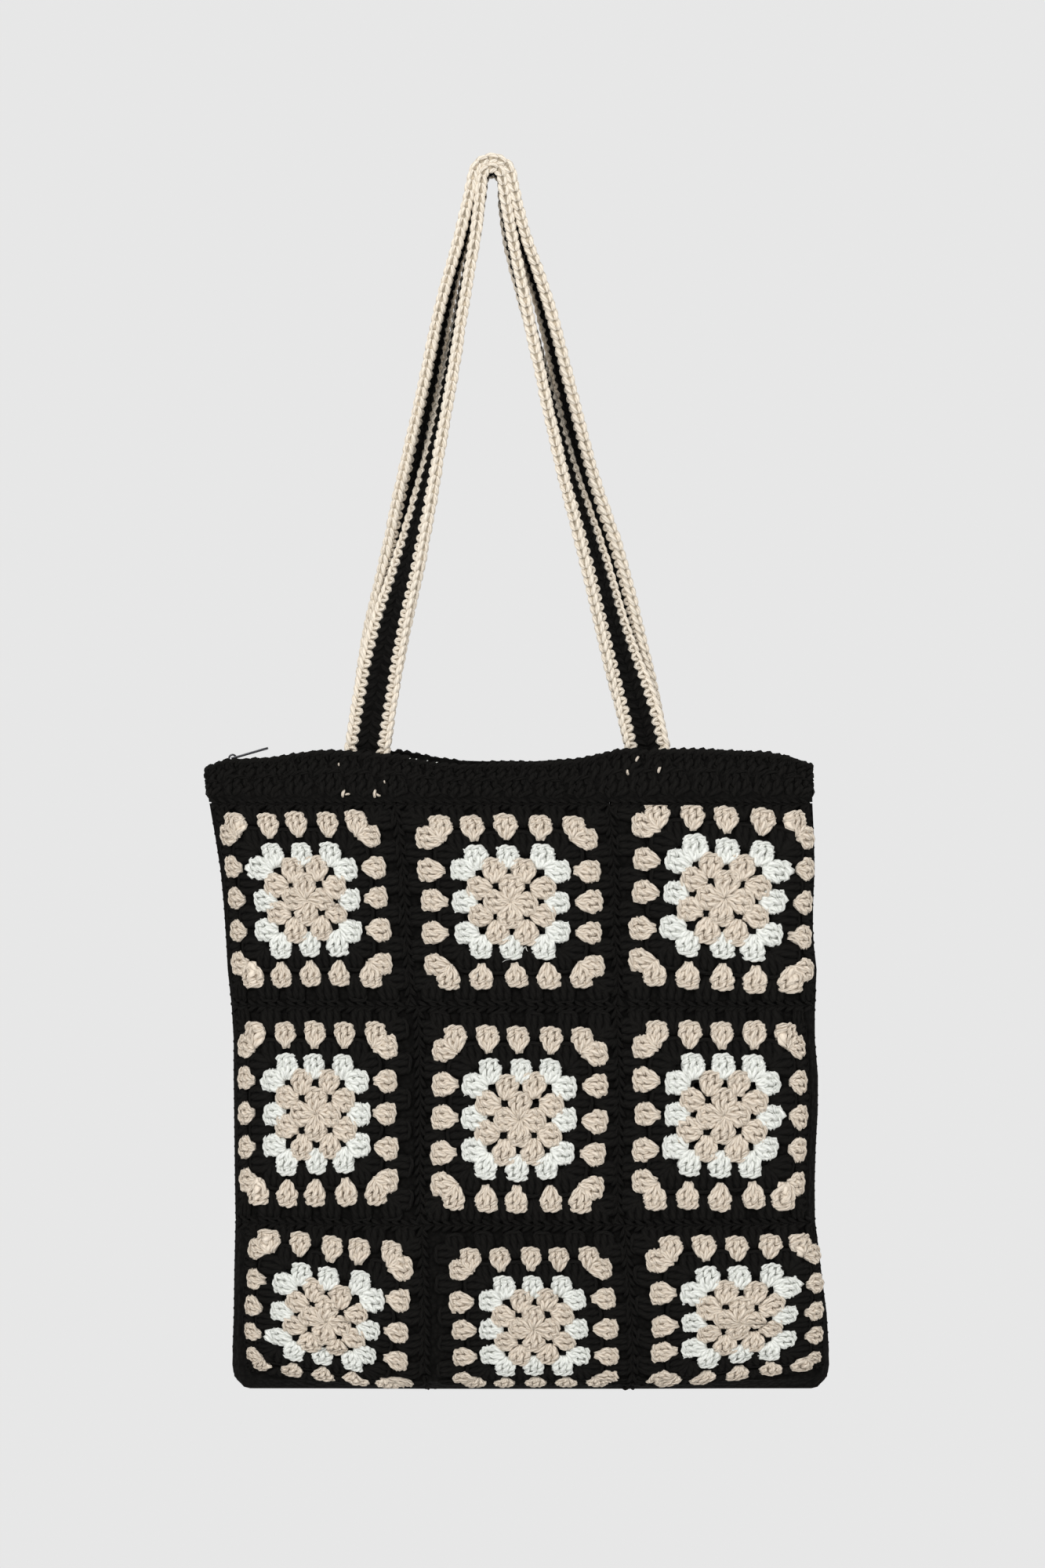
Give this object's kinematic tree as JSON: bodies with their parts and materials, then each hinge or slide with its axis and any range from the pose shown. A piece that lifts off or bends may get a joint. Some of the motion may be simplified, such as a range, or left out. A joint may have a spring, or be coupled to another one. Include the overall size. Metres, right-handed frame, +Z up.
{
  "type": "crochet shoulder bag",
  "caption": "Flat crochet shoulder bag of granny squares with a top band, a zipped mouth and two long twisted straps, hanging from a peg point.",
  "frame": {"origin": "the hanging point, under the middle of the front strap, where the bag hangs from a thin peg", "axes": "+Z up along the hanging bag, -Y out of the front face, +X to the right seen from the front"},
  "size_m": [0.3673, 0.0592, 0.7261],
  "materials": {
    "black_yarn": "soft fuzzy worsted yarn, crocheted",
    "cream_yarn": "soft fuzzy worsted yarn, crocheted",
    "white_yarn": "soft fuzzy worsted yarn, crocheted",
    "zip_tape": "woven polyester tape",
    "zip_teeth": "moulded coil",
    "slider_metal": "dark gunmetal plating"
  },
  "bodies": {
    "bag": {"front_square_r1_c1": "black_yarn", "front_square_r1_c2": "black_yarn", "front_square_r1_c3": "black_yarn", "front_square_r2_c1": "black_yarn", "front_square_r2_c2": "black_yarn", "front_square_r2_c3": "black_yarn", "front_square_r3_c1": "black_yarn", "front_square_r3_c2": "black_yarn", "front_square_r3_c3": "black_yarn", "back_square_r1_c1": "black_yarn", "back_square_r1_c2": "black_yarn", "back_square_r1_c3": "black_yarn", "back_square_r2_c1": "black_yarn", "back_square_r2_c2": "black_yarn", "back_square_r2_c3": "black_yarn", "back_square_r3_c1": "black_yarn", "back_square_r3_c2": "black_yarn", "back_square_r3_c3": "black_yarn", "top_band": "black_yarn", "edge_seam": "black_yarn", "front_strap": "cream_yarn", "back_strap": "cream_yarn", "zip_tape_front": "zip_tape", "zip_tape_back": "zip_tape", "zip_chain": "zip_teeth", "zip_slider": "slider_metal"},
    "pull": {"zip_pull": "slider_metal"}
  },
  "joints": [
    {"name": "pull_swing", "type": "hinge", "parent": "bag", "child": "pull", "pos_m": [-0.15317, 0, -0.34451], "axis": [0, -1, 0], "range_deg": [0, 145]}
  ]
}
